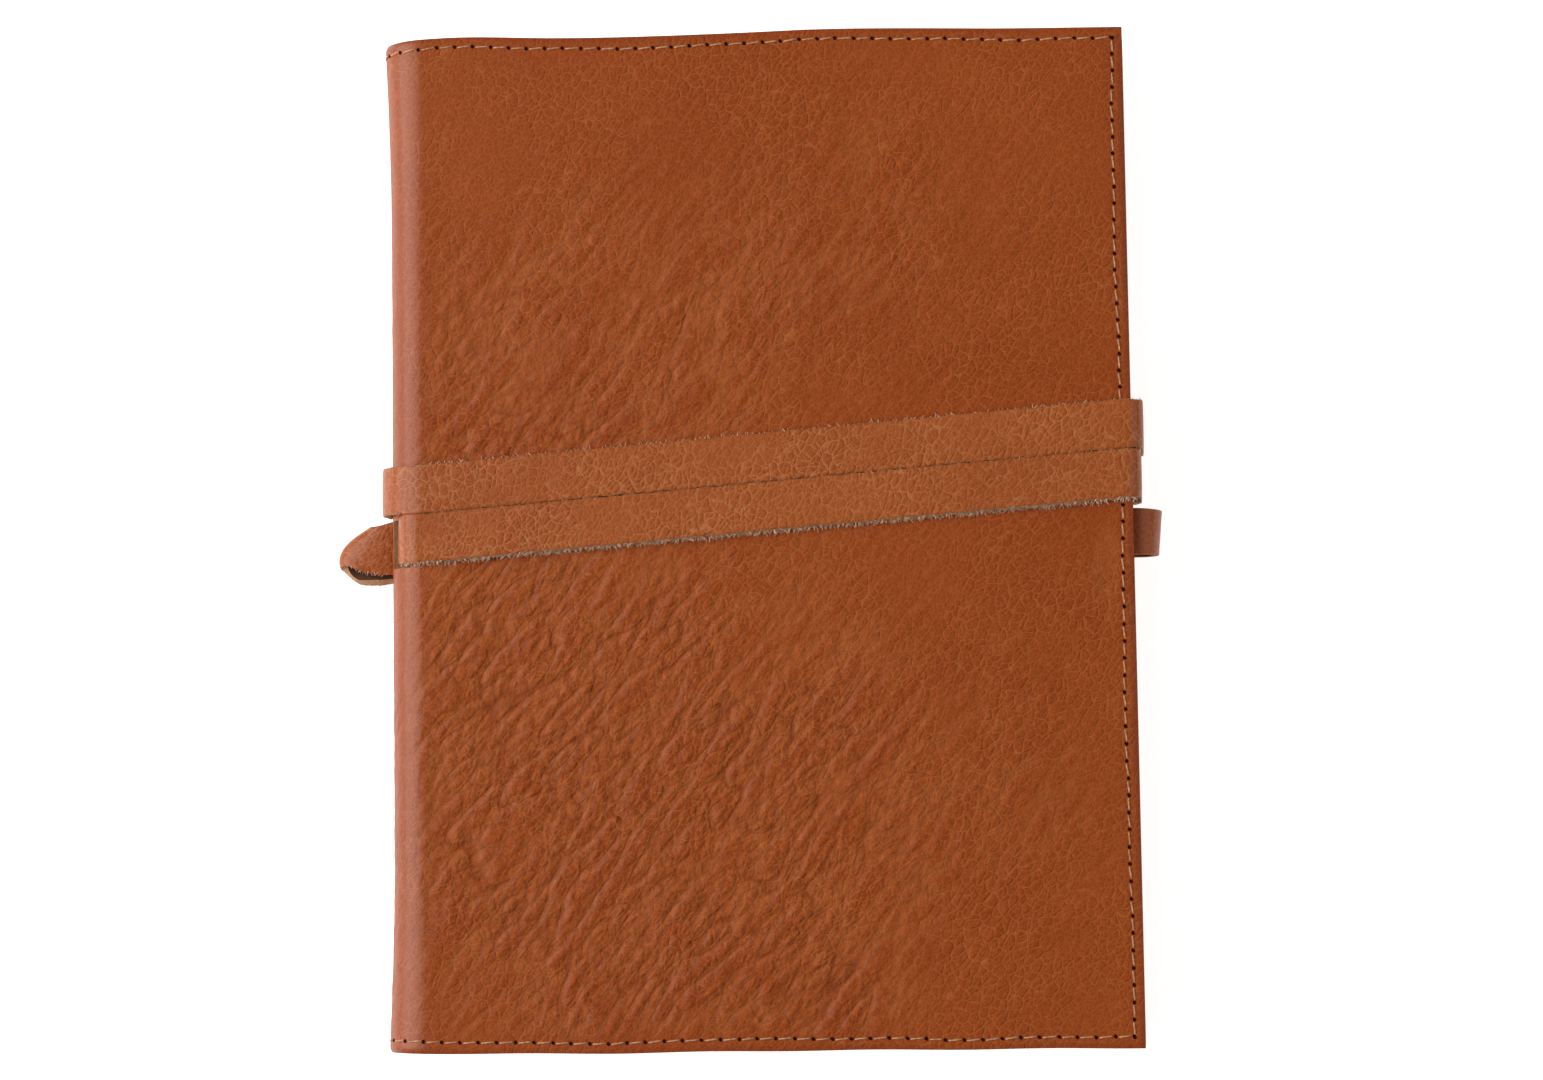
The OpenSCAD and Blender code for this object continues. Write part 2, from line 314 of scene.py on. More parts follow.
def smooth(piece, angle=40):
    nothing()
    piece.select_set(True)
    bpy.context.view_layer.objects.active = piece
    bpy.ops.object.shade_smooth_by_angle(angle=math.radians(angle))


def triangles(piece):
    return sum(len(face.vertices) - 2 for face in piece.data.polygons)


print("tools ready")

# %% [markdown]
# ## Flat pattern and wrapped cover
#
# Leather is cut flat and then rolled. A point of the hide is known by how far it is across the flat pattern
# (0 where the front cover begins, growing to the fore edge, negative round the spine and along the back),
# how far it is up the book, and how deep it is in the leather. `wrap` puts such a point in its place.
# The outline is hand cut: its head edge wanders, its fore edge leans and the spine flares at both ends.

# %% Flat pattern
def hump(x, middle, width):
    return math.exp(-((x - middle) / width) ** 2)


def hand_cut(x, y, z):
    """Moves a point from the ruled outline to the hand-cut one."""
    share, up = (x - ROLL_X) / WIDE, y / HALF
    if share < 0:
        flare = max(0, abs(up) - 0.6) / 0.4
        x -= (ROLL_X - x) / ROLL * (1.3 * flare ** 2 - 0.25) * MM
    x += max(share, 0) * (0.15 - 0.6 * up) * MM
    if up > 0:
        y += up * (0.15 + 0.95 * hump(x, -0.061, 0.017) + 0.5 * hump(x, 0.026, 0.024)
                   - 1.0 * max(share - 0.55, 0) / 0.45) * MM
    else:
        y += up * (0.25 + 0.3 * hump(x, -0.035, 0.03) + 0.1 * math.sin(x * 170)) * MM
    return Vector((x, y, z))


def wrap(across, up, depth=0.0):
    """The place of a point of the flat pattern, depth metres below the outer face."""
    radius = ROLL - depth
    if across >= 0:
        return hand_cut(ROLL_X + across, up, MID + radius)
    if across <= -ROUND:
        return hand_cut(ROLL_X - ROUND - across, up, MID - radius)
    angle = -across / ROLL
    return hand_cut(ROLL_X - radius * math.sin(angle), up, MID + radius * math.cos(angle))


def unwrap(point):
    """Across, up and depth of a point on the ruled cover."""
    if point.x >= ROLL_X:
        upper = point.z > MID
        across = point.x - ROLL_X if upper else -ROUND - (point.x - ROLL_X)
        return across, point.y, (TOP - point.z) if upper else (point.z - UNDER)
    angle = math.atan2(ROLL_X - point.x, point.z - MID)
    return -ROLL * angle, point.y, ROLL - math.hypot(point.x - ROLL_X, point.z - MID)


print("fore edge", [round(c / MM, 2) for c in wrap(WIDE, 0)], "spine", [round(c / MM, 2) for c in wrap(-ROUND / 2, 0)])

# %% [markdown]
# ## Grain: the creases of a real skin
#
# Pull-up leather shows long wrinkles that cross each other, with small pillows between them. Points scattered
# over the skin divide it into cells, and the wrinkles run along the borders of the cells. The cells are
# stretched along one slanting direction that wanders, and the wrinkles are strong in some places and fade
# in others. The heights go into the mesh itself, because wrinkles this wide catch the light and cast shade.

# %% Grain
LOOSE = ((-0.055, -0.030, 0.045, 1.0), (-0.045, -0.080, 0.040, 0.9), (-0.008, -0.055, 0.042, 1.0), (0.010, -0.092, 0.032, 0.8),
         (-0.055, 0.030, 0.036, 0.75), (-0.005, 0.045, 0.036, 0.7), (0.035, 0.070, 0.028, 0.45), (0.050, -0.045, 0.035, 0.45))


def looseness(across, up):
    """How strong the wrinkles are at a place: 0 on tight skin, 1 on loose skin."""
    x = ROLL_X + abs(across + ROUND / 2) - ROUND / 2
    much = 0.16 + sum(s * math.exp(-((x - cx) ** 2 + (up - cy) ** 2) / r ** 2) for cx, cy, r, s in LOOSE)
    much *= 0.75 + 0.5 * noise.noise(Vector((across * 40, up * 40, 3.1)))
    much *= 0.45 + 0.55 * max(0, min(1, (across + 3 * MM) / (9 * MM)))
    edge = min(HALF - abs(up), WIDE - across if across > -ROUND / 2 else WIDE + ROUND + across)
    return max(0.06, min(1.05, much)) * min(1, 0.25 + max(edge, 0) / (9 * MM))


def network(across, up, length, width, lean, drift, seed):
    """Distance from the nearest border of a stretched cell, in cells. The drift, in metres, bends the whole net."""
    wander = noise.noise_vector(Vector((across * 26, up * 26, seed))) * drift
    x, y, turn = across + wander.x, up + wander.y, math.radians(lean)
    place = Vector(((x * math.cos(turn) + y * math.sin(turn)) / length, (y * math.cos(turn) - x * math.sin(turn)) / width, seed))
    place += noise.noise_vector(place * 0.8) * 0.3
    place.z = seed
    far, sites = noise.voronoi(place)
    return min((far[k] ** 2 - far[0] ** 2) / (2 * max(0.25, (sites[k] - sites[0]).xy.length)) for k in (1, 2, 3))


def flow(across, up, length, width, lean, drift, seed):
    """A smooth field drawn out along the lean. It is 0 on long lines, which wander, fork and die out."""
    wander = noise.noise_vector(Vector((across * 30, up * 30, seed))) * drift
    x, y, turn = across + wander.x, up + wander.y, math.radians(lean)
    return noise.noise(Vector(((x * math.cos(turn) + y * math.sin(turn)) / length, (y * math.cos(turn) - x * math.sin(turn)) / width, seed)))


def lines(across, up):
    """Two fields whose zero lines are the long creases and the short ones."""
    return flow(across, up, 13 * MM, 3.3 * MM, 50, 4.5 * MM, 1.5), flow(across, up, 5 * MM, 2.1 * MM, 55, 3.5 * MM, 6.5), 0


def relief(across, up):
    """Height of the outer face in metres, and how deep in a wrinkle or the dent the place is, from 0 to 1; the finish
    paints shade by this depth.
    """
    loose = looseness(across, up)
    long, short, _ = lines(across, up)
    small = network(across, up, 4.0 * MM, 2.3 * MM, 52, 4 * MM, 4.5)
    furrow = math.exp(-(long / 0.30) ** 2) * loose
    cleft = math.exp(-(short / 0.36) ** 2) * loose
    swell = noise.noise(Vector((across * 90, up * 60, 5.5))) * 0.06
    dent = math.exp(-((across - WIDE + 5 * MM) / (3.5 * MM)) ** 2 - ((up + 8.5 * MM) / (9 * MM)) ** 2)
    height = (-0.26 * furrow - 0.15 * cleft + swell * (0.4 + loose) - 0.3 * dent + 0.40 * min(small, 0.35) * loose) * MM
    return height, min(1.0, 0.30 * furrow + 0.12 * cleft + 0.3 * dent)


print("grain at the middle", relief(0.05, 0.0))

# %% [markdown]
# ## Stitch rows
#
# One row of lock stitch runs along the head, the fore edge and the tail of each cover and on round the spine.
# The rows are set by hand, so they wander a little. The thread pulls a shallow groove into the leather, and the
# rim outside the groove is pressed and rounded off.

# %% Stitch rows
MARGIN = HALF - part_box("thread_front")[1].y + 0.3 * MM
PITCH_ALONG, PITCH_UP = 4.0 * MM, 3.65 * MM
FORE_ROW = FORE_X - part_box("thread_front")[1].x + 0.3 * MM


def row_up(across, side):
    """How far up the head row (side 1) or the tail row (side -1) is at a place across."""
    return side * (HALF - MARGIN + 0.22 * MM * math.sin(across * 75 + side) + 0.1 * MM * math.sin(across * 230))


def row_across(up):
    return WIDE - FORE_ROW + 0.22 * MM * math.sin(up * 60 + 0.6) + 0.1 * MM * math.sin(up * 190)


def to_row(across, up):
    """Distance from the nearest stitch row, positive outside it, toward the cut edge."""
    mirrored = across if across > -ROUND / 2 else -ROUND - across
    return max(mirrored - row_across(up), up - row_up(across, 1), row_up(across, -1) - up)


def skin(across, up):
    """The finished outer face: height above the ruled surface, wrinkle depth, and nearness to the cut edge."""
    height, wrinkle = relief(across, up)
    out = to_row(across, up)
    groove = math.exp(-(out / (0.75 * MM)) ** 2)
    rim = min(1, max(0, out) / (2.6 * MM))
    height = height * (1 - 0.5 * groove) - 0.16 * MM * groove - 0.55 * MM * rim ** 4
    return height, wrinkle * (1 - groove), max(0, 1 + out / (6 * MM))


print("margin", round(MARGIN / MM, 2), "fore row", round(FORE_ROW / MM, 2))

# %% [markdown]
# ## The hide
#
# Each half is a grid laid flat, whose spine edge is spun a quarter turn round the roll's axis. The strap's slot is
# a row of faces taken out of the spun part. Solidify then gives the leather its thickness inward, and the outer
# faces alone are cut finer, so that the wrinkles have enough points while the hidden side stays light.
# Two halves are used because the cover has a hinge on each side of the spine.

# %% Hide halves
SLOT_UP, SLOT_HALF, SLOT_TURN, SLOT_OPEN = 0.5 * MM, 5.3 * MM, 45, 20


def half_cover(name, out, thickness, upper, fine, slot=False):
    """A sheet rolled a quarter turn at its spine edge, with its outer face `out` metres from the middle plane."""
    side = 1 if upper else -1
    nothing()
    bpy.ops.mesh.primitive_grid_add(x_subdivisions=58, y_subdivisions=84, size=1,
                                    location=((ROLL_X + FORE_X) / 2, 0, MID + side * out))
    bpy.context.object.scale = (WIDE, 2 * HALF, 1)
    piece = settle(name)
    pick(piece, lambda p: p.x < ROLL_X + 0.2 * MM, "EDGE")
    bpy.ops.mesh.spin(steps=8, angle=side * math.pi / 2, center=(ROLL_X, 0, MID), axis=(0, 1, 0))
    bpy.ops.object.mode_set(mode="OBJECT")
    if slot:
        turned = lambda p: math.degrees(math.atan2(ROLL_X - p.x, p.z - MID))
        pick(piece, lambda p: abs(turned(p) - SLOT_TURN) < SLOT_OPEN and abs(p.y - SLOT_UP) < SLOT_HALF)
        bpy.ops.mesh.delete(type="FACE")
    bpy.ops.object.mode_set(mode="EDIT")
    bpy.ops.mesh.select_all(action="SELECT")
    bpy.ops.mesh.remove_doubles(threshold=0.05 * MM)
    bpy.ops.mesh.normals_make_consistent(inside=False)
    bpy.ops.object.mode_set(mode="OBJECT")
    flat = max(piece.data.polygons, key=lambda face: face.center.x)
    if flat.normal.z * side < 0:
        bpy.ops.object.mode_set(mode="EDIT")
        bpy.ops.mesh.flip_normals()
        bpy.ops.object.mode_set(mode="OBJECT")
    dress(piece, None, None, None)
    modify(piece, "SOLIDIFY", thickness=thickness, offset=-1, use_even_offset=True, material_offset=1,
           material_offset_rim=2)
    if fine:
        bpy.ops.object.mode_set(mode="EDIT")
        bpy.ops.mesh.select_mode(type="FACE")
        bpy.ops.mesh.select_all(action="DESELECT")
        bpy.ops.object.mode_set(mode="OBJECT")
        for face in piece.data.polygons:
            face.select = face.material_index == 0
        bpy.ops.object.mode_set(mode="EDIT")
        bpy.ops.mesh.subdivide(number_cuts=fine)
        bpy.ops.object.mode_set(mode="OBJECT")
    return piece


def lay_skin(piece):
    """Gives the outer points their grain and moves every point to the hand-cut outline."""
    mesh = piece.data
    outer = set(i for face in mesh.polygons if face.material_index == 0 for i in face.vertices)
    flat, wrinkles, rims, slack, creases = [], [], [], [], []
    for point in mesh.vertices:
        across, up, depth = unwrap(point.co)
        height, wrinkle, rim = skin(across, up) if point.index in outer else (0, 0, 1)
        if point.index in outer:
            depth = 0
        flat.append((across, up, depth))
        wrinkles.append(wrinkle)
        rims.append(rim)
        slack.append(looseness(across, up))
        creases.append(lines(across, up))
        point.co = wrap(across, up, depth - height)
    keep(piece, "flat_place", "FLOAT_VECTOR", flat)
    keep(piece, "wrinkle", "FLOAT", wrinkles)
    keep(piece, "rim", "FLOAT", rims)
    keep(piece, "loose", "FLOAT", slack)
    keep(piece, "creases", "FLOAT_VECTOR", creases)


hide_upper = half_cover("hide_upper", ROLL, HIDE, True, 3, slot=True)
hide_lower = half_cover("hide_lower", ROLL, HIDE, False, 3)
for piece in (hide_upper, hide_lower):
    lay_skin(piece)
    print(piece.name, triangles(piece), "triangles", [round(c / MM, 2) for c in min(piece.data.vertices, key=lambda v: v.co.x).co])

# %% [markdown]
# ## The finish of the hide
#
# Waxed pull-up leather is warm brown, darker where it is pressed and lighter where it has been pulled. Shade is
# painted dark into the wrinkles and the dent, and painted highlights make pale bands along the creases. Under that lies
# a fine network of pores, which is too small for the mesh and is left to a bump.

# %% Leather finish
def leather(name, light, base, dark, shoulder, attribute="flat_place", pull=1.0):
    finish = Finish(name)
    where = finish.place(attribute)
    bent = finish.drawn(finish.bend(where, 150, 0.002), 1.5, 50)
    broad = finish.cloud(where, 17, 3, 0.55)
    patchy = finish.cloud(where, 75, 4, 0.6)
    speck = finish.cloud(where, 1100, 3, 0.7)
    pebble = finish.cells(bent, 560, "DISTANCE_TO_EDGE")
    pores = finish.cells(bent, 1200, "DISTANCE_TO_EDGE")
    here = finish.cloud(where, 45, 2).ramp(0.35, 0.6)
    colour = finish.mix(broad.ramp(0.3, 0.72), dark, base)
    colour = finish.mix(patchy.ramp(0.42, 0.75) * 0.4, colour, light)
    colour = finish.mix(speck.ramp(0.45, 0.8) * 0.2 * pull, colour, shoulder)
    colour = finish.mix((1 - pores.ramp(0.0, 0.13)) * 0.26 * pull, colour, shoulder)
    colour = finish.mix((1 - pebble.ramp(0.0, 0.055)) * (here * 0.7 + 0.3) * 0.5 * pull, colour, shoulder)
    height = pebble.ramp(0.0, 0.2) * (here * 0.7 + 0.3) * 1.4 + pores.ramp(0.0, 0.25) * 0.55 + speck * 0.35
    return finish, where, colour, height, patchy


def hide_finish():
    finish, where, colour, height, patchy = leather("hide leather", (0.290, 0.058, 0.0070), (0.262, 0.047, 0.0040),
                                                    (0.232, 0.037, 0.0025), (0.40, 0.118, 0.030))
    wrinkle, rim, loose = finish.value("wrinkle"), finish.value("rim"), finish.value("loose")
    lines = finish.node("SeparateXYZ", {}, {0: finish.place("creases")})
    long, short = (Wire(finish, lines.socket.node.outputs[i]).maths("ABSOLUTE") for i in (0, 1))
    come_and_go = finish.cloud(where, 85, 2).ramp(0.36, 0.58)
    folds = finish.cells(finish.drawn(finish.bend(where, 60, 0.004), 1.9, 50), 350, "DISTANCE_TO_EDGE")
    cobbles = finish.cells(finish.drawn(finish.bend(where, 90, 0.003), 1.5, 55), 640, "DISTANCE_TO_EDGE")
    crease = ((1 - long.ramp(0.0, 0.075)) * (0.3 + come_and_go * 0.7) + (1 - short.ramp(0.0, 0.09)) * (1 - come_and_go * 0.6) * 0.7) * loose
    shoulder = long.ramp(0.05, 0.12) * (1 - long.ramp(0.12, 0.3)) * loose
    fold = (1 - folds.ramp(0.0, 0.11)) * loose
    # Painted highlight: pale bands along both shoulders of the long creases.
    colour = finish.mix(shoulder * 0.12, colour, (0.37, 0.10, 0.024))
    # Painted shade: the borders of the fold cells and the long and short creases are darkened, as the shade in the
    # wrinkles.
    colour = finish.mix(fold * 0.42, colour, (0.150, 0.026, 0.004))
    colour = finish.mix(crease.clamp() * 0.42, colour, (0.120, 0.020, 0.004))
    height = height * 0.8 + folds.ramp(0.0, 0.5) * loose * 3.6 + cobbles.ramp(0.0, 0.4) * loose * 1.3 - crease * 0.9
    # Painted shade: the deeper a place lies in a wrinkle or in the dent by the fore edge, the darker it is painted.
    colour = finish.mix(wrinkle.ramp(0.25, 1.0) * 0.5, colour, (0.110, 0.020, 0.006))
    # Painted highlight: a pale band where a wrinkle begins, round its painted dark middle.
    colour = finish.mix(wrinkle.ramp(0.08, 0.25) * (1 - wrinkle.ramp(0.25, 0.5)) * 0.22, colour, (0.38, 0.12, 0.035))
    colour = finish.mix(rim.ramp(1.02, 1.5) * 0.45, colour, (0.20, 0.034, 0.010))
    across = finish.node("SeparateXYZ", {}, {0: where})
    rubbed = 1 - across.ramp(-4.5 * MM, 1.5 * MM)
    outermost = 1 - across.ramp(-12.5 * MM, -8 * MM)
    shine = rubbed * 0.42 - outermost * 0.56 + 0.24
    return finish.end(Base_Color=colour, Roughness=0.5 + patchy * 0.1, Normal=finish.bump(height, 0.00009, 0.9),
                      Specular_IOR_Level=0.04, Coat_Weight=shine - wrinkle * 0.2, Coat_Roughness=0.34)


def raw_edge_finish(name, pale, deep):
    finish = Finish(name)
    where = finish.place()
    fibre = finish.cloud(where, 2600, 3, 0.75)
    layer = finish.cloud(finish.place(stretch=(1, 1, 5)), 300, 2)
    colour = finish.mix(fibre.ramp(0.35, 0.7) * 0.6 + layer * 0.3, deep, pale)
    return finish.end(Base_Color=colour, Roughness=0.85, Specular_IOR_Level=0.2, Normal=finish.bump(fibre, 0.0003, 0.9))


HIDE_LEATHER = hide_finish()
HIDE_EDGE = raw_edge_finish("hide edge", (0.50, 0.28, 0.15), (0.22, 0.08, 0.035))
for piece in (hide_upper, hide_lower):
    for slot, material in enumerate((HIDE_LEATHER, HIDE_EDGE, HIDE_EDGE)):
        piece.data.materials[slot] = material
    smooth(piece, 50)
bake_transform(hide_upper)
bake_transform(hide_lower)
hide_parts("hide_front")
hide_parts("hide_back", "hide_spine")
print("hide dressed")

# %% [markdown]
# ## The strap
#
# The strap is one long strip, 10 mm wide, cut from a thicker part of the skin, so its cut edges stay raw. A
# strip like this is easiest to model flat, as a grid with one row a station, and then to lay along its route:
# every station of the route says where the strip's two edges are. Solidify gives it its thickness and a bevel
# softens its four long edges.

# %% Strips of leather
STRAP_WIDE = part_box("strap_tail")[1].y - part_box("strap_tail")[0].y
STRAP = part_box("strap_back_outer")[1].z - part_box("strap_back_outer")[0].z
ACROSS = 16


def strip(name, rails, thickness, crown=0.0, bulge=None, ragged=0.0, slant=0.0, slant_end=0):
    """A strip whose two long edges follow the rails, a list of pairs of points."""
    nothing()
    count = len(rails)
    bpy.ops.mesh.primitive_grid_add(x_subdivisions=count - 1, y_subdivisions=ACROSS, size=1)
    piece = settle(name)
    length = [0.0]
    for (a, b), (c, d) in zip(rails, rails[1:]):
        length.append(length[-1] + ((a + b) / 2 - (c + d) / 2).length)
    flat = []
    for point in piece.data.vertices:
        i, share = round((point.co.x + 0.5) * (count - 1)), point.co.y + 0.5
        low, high = rails[i]
        ahead, behind = rails[min(i + 1, count - 1)], rails[max(i - 1, 0)]
        along = (ahead[0].lerp(ahead[1], share) - behind[0].lerp(behind[1], share)).normalized()
        outward = (high - low).cross(along).normalized()
        width = (high - low).length
        flat.append((length[i], (share - 0.5) * width, 0))
        if ragged and share in (0, 1):
            frayed = (noise.noise(Vector((length[i] * 700, share * 9, 2.2))) + 0.5 * noise.noise(Vector((length[i] * 2100, share * 9, 6.2))))
            share += (share * 2 - 1) * frayed * ragged / width
        lift = crown * (1 - (2 * share - 1) ** 4) + 0.05 * MM * noise.noise(Vector((length[i] * 180, share * 2, 4.4)))
        point.co = low.lerp(high, share) - outward * lift
        if bulge:
            point.co += bulge(i / (count - 1), share)
    print(name, "cut length", round(length[-1] / MM), "mm")
    keep(piece, "flat_place", "FLOAT_VECTOR", flat)
    dress(piece, None, None, None)
    modify(piece, "SOLIDIFY", thickness=thickness, offset=0, use_even_offset=False, material_offset=1, material_offset_rim=2)
    if slant:
        places = piece.data.attributes["flat_place"].data
        inner = set(i for face in piece.data.polygons if face.material_index == 1 for i in face.vertices)
        for i in inner:
            along, aside, _ = places[i].vector
            if aside < -0.49 * (rails[0][1] - rails[0][0]).length and along < length[slant_end]:
                piece.data.vertices[i].co += (rails[0][0] - rails[0][1]).normalized() * slant * min(1, (length[slant_end] - along) / (4 * MM))
    modify(piece, "BEVEL", width=0.28 * MM, segments=2, limit_method="ANGLE", angle_limit=math.radians(55))
    bpy.ops.object.mode_set(mode="EDIT")
    bpy.ops.mesh.select_all(action="SELECT")
    bpy.ops.mesh.normals_make_consistent(inside=False)
    bpy.ops.object.mode_set(mode="OBJECT")
    return piece


def arc(middle_x, middle_z, radius, start, stop, steps):
    """Points round a centre, by the angle from straight up towards the spine."""
    for i in range(steps + 1):
        turn = math.radians(start + (stop - start) * i / steps)
        yield middle_x - radius * math.sin(turn), middle_z + radius * math.cos(turn)


def smooth_line(points, steps):
    """A curve through all the points, in the same number of steps between each."""
    padded = [points[0] * 2 - points[1]] + points + [points[-1] * 2 - points[-2]]
    line = []
    for a, b, c, d in zip(padded, padded[1:], padded[2:], padded[3:]):
        for i in range(steps):
            t = i / steps
            line.append(0.5 * (2 * b + (c - a) * t + (2 * a - 5 * b + 4 * c - d) * t * t + (3 * b - a - 3 * c + d) * t ** 3))
    return line + [points[-1]]


def run(start, stop, step):
    count = max(2, round((Vector(stop) - Vector(start)).length / step))
    return [Vector(start).lerp(Vector(stop), i / count) for i in range(1, count)]


print("strap", round(STRAP_WIDE / MM, 2), "x", round(STRAP / MM, 2))

# %% [markdown]
# ### The way the strap goes
#
# It comes out of the slot in the roll, crosses the front, turns down at the fore edge, goes back behind the
# book, climbs round the spine and crosses the front again above its first pass. The heights of the passes are
# read from the CAD runs. Each turn is an arc, and only the way out of the slot is a free curve.

# %% The strap's route
OVER = (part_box("strap_front_upper")[0].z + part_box("strap_front_upper")[1].z) / 2
INNER = (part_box("strap_back_inner")[0].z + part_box("strap_back_inner")[1].z) / 2
OUTER = STRAP / 2
START_UP = (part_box("strap_tail")[0].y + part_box("strap_tail")[1].y) / 2 + 2 * MM
LOWER_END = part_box("strap_front_lower")[1].y - STRAP_WIDE / 2
UPPER_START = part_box("strap_spine_turn")[0].y + STRAP_WIDE / 2
UPPER_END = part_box("strap_fore_upper")[1].y - STRAP_WIDE / 2
TAIL_UP = START_UP - 2 * MM
STEP = 0.7 * MM


def centre_line(points):
    """Rails of a strip that keeps square to the book as it goes round it."""
    half = Vector((0, STRAP_WIDE / 2, 0))
    return [(point - half, point + half) for point in points]


def round_fore_edge(up, low, reach):
    """The short turn at the fore edge, from the front down to the height of a pass behind the book."""
    radius = 2.1 * MM
    middle = reach - STRAP / 2 - radius
    top = [Vector((x, up, z)) for x, z in arc(middle, OVER - radius, radius, 0, -90, 6)]
    foot = [Vector((x, up, z)) for x, z in arc(middle, low + radius, radius, -90, -180, 6)]
    return top + run(top[-1], foot[0], STEP) + foot


FORE_LOWER = round_fore_edge(LOWER_END, INNER, FORE_X + 2.0 * MM)
FORE_UPPER = round_fore_edge(UPPER_END, OUTER, FORE_X + 2.55 * MM)
out_of_slot = smooth_line([Vector((ROLL_X + x * MM, START_UP, MID + z * MM)) for x, z in
                           ((-5.55, 3.7), (-5.2, 5.2), (-4.75, 6.6), (-4.15, 7.85), (-3.25, 8.85), (-2.1, 9.4), (-1.0, 9.5), (0, 9.5))], 2)
round_spine = [Vector((x, UPPER_START, z)) for x, z in arc(ROLL_X, MID, OVER - MID, 180, 0, 44)]
route = (out_of_slot + run(out_of_slot[-1], FORE_LOWER[0], STEP) + FORE_LOWER
         + run(FORE_LOWER[-1], round_spine[0], 4 * STEP) + round_spine
         + run(round_spine[-1], FORE_UPPER[0], STEP) + FORE_UPPER)
print("turns of the strap:", len(route), "stations")

# %% [markdown]
# ### Winding
#
# Both crossings, both turns and the pass between them are one unbroken strip, as on the real cover. Its lower
# edge was cut on the slant, so its flesh side stands out past the smooth side.

# %% Wind the strap round the book
strap_turns = strip("strap_turns", centre_line(route), STRAP, 0.12 * MM, ragged=0.22 * MM, slant=0.5 * MM,
                    slant_end=len(out_of_slot) + 224)
left = Vector((ROLL_X, TAIL_UP, OUTER))
behind = [FORE_UPPER[-1]] + run(FORE_UPPER[-1], left, 2 * STEP) + [left]
print(strap_turns.name, triangles(strap_turns), "triangles", "faces by material", [sum(f.material_index == m for f in strap_turns.data.polygons) for m in range(3)])

# %% [markdown]
# ### The tucked tail
#
# The strap's last pass runs out past the spine under the book, folds back over itself on the slant and is
# tucked in again under the cover. The slanted fold makes a small cone, open at its lower side, so its two edges
# are drawn as separate rails and a little bulge is added at the fold.

# %% Tail of the strap
def rail(rows):
    return smooth_line([Vector((ROLL_X + x * MM, y * MM, z * MM)) for x, y, z in rows], 9)


foot_rail = rail(((0, -6.2, 0.92), (-6.5, -6.6, 0.95), (-12.5, -7.2, 1.0), (-18.0, -6.9, 1.1), (-21.0, -3.9, 2.7), (-19.8, -3.5, 4.7),
                  (-15.8, -4.9, 5.15), (-11.2, -5.5, 4.95), (-6.2, -5.7, 3.6), (-1.8, -5.5, 2.8), (19, -5.2, 2.8)))
head_rail = rail(((0, 4.2, 0.92), (-5.7, 4.5, 0.95), (-10.2, 4.6, 1.0), (-13.2, 4.2, 1.4), (-14.9, 4.0, 3.1), (-13.9, 4.6, 4.75),
                  (-11.2, 5.6, 5.15), (-8.2, 6.2, 4.85), (-4.7, 5.7, 3.6), (-1.2, 5.3, 2.8), (19, 5.2, 2.8)))
half = Vector((0, STRAP_WIDE / 2, 0))
tail_rails = [(p - half, p + half) for p in behind[:-1]] + list(zip(foot_rail, head_rail))


def puff(share_along, share):
    """The fold swells between its two edges, and the lower edge of both layers curls towards the gap."""
    step = share_along * (len(tail_rails) - 1) - len(behind) + 1
    near = lambda middle, reach: math.exp(-((step - middle) / reach) ** 2)
    curl = max(0, 1 - share / 0.4) ** 2
    return Vector((-2.3 * MM * 4 * share * (1 - share) * near(36, 9), 0, (2.3 * near(20, 10) - 0.7 * near(58, 10)) * curl * MM))


strap_tail = strip("strap_tail_fold", tail_rails, STRAP, ragged=0.2 * MM, bulge=puff)
print(strap_tail.name, triangles(strap_tail), "triangles", [round(c / MM, 1) for c in min(strap_tail.data.vertices, key=lambda v: v.co.x).co])

# %% [markdown]
# ### The finish of the strap
#
# The strap is from a lighter part of the skin. Where it is pulled taut the wax cracks, which leaves pale veins
# between small islands. Its edges are raw, and its flesh side is painted near black as the shade inside the
# tucked fold. The turns stay with the back cover.

# %% Strap finish
def strap_finish():
    finish, where, colour, height, patchy = leather("strap leather", (0.332, 0.080, 0.013), (0.300, 0.066, 0.008),
                                                    (0.262, 0.052, 0.006), (0.42, 0.135, 0.040))
    veins = finish.cells(finish.drawn(finish.bend(where, 160, 0.0035), 1.3, 75), 520, "DISTANCE_TO_EDGE")
    vein = 1 - veins.ramp(0.0, 0.07)
    some = finish.cloud(where, 50, 2).ramp(0.35, 0.6) * 0.7 + 0.3
    colour = finish.mix(vein * some * 0.42, colour, (0.50, 0.205, 0.085))
    height = height + veins.ramp(0.0, 0.22) * some * 1.1
    return finish.end(Base_Color=colour, Roughness=0.52 + patchy * 0.1, Normal=finish.bump(height, 0.00009, 0.9),
                      Specular_IOR_Level=0.06, Coat_Weight=0.45, Coat_Roughness=0.28)


STRAP_LEATHER = strap_finish()
STRAP_RAW = raw_edge_finish("strap raw edge", (0.60, 0.34, 0.19), (0.30, 0.135, 0.062))
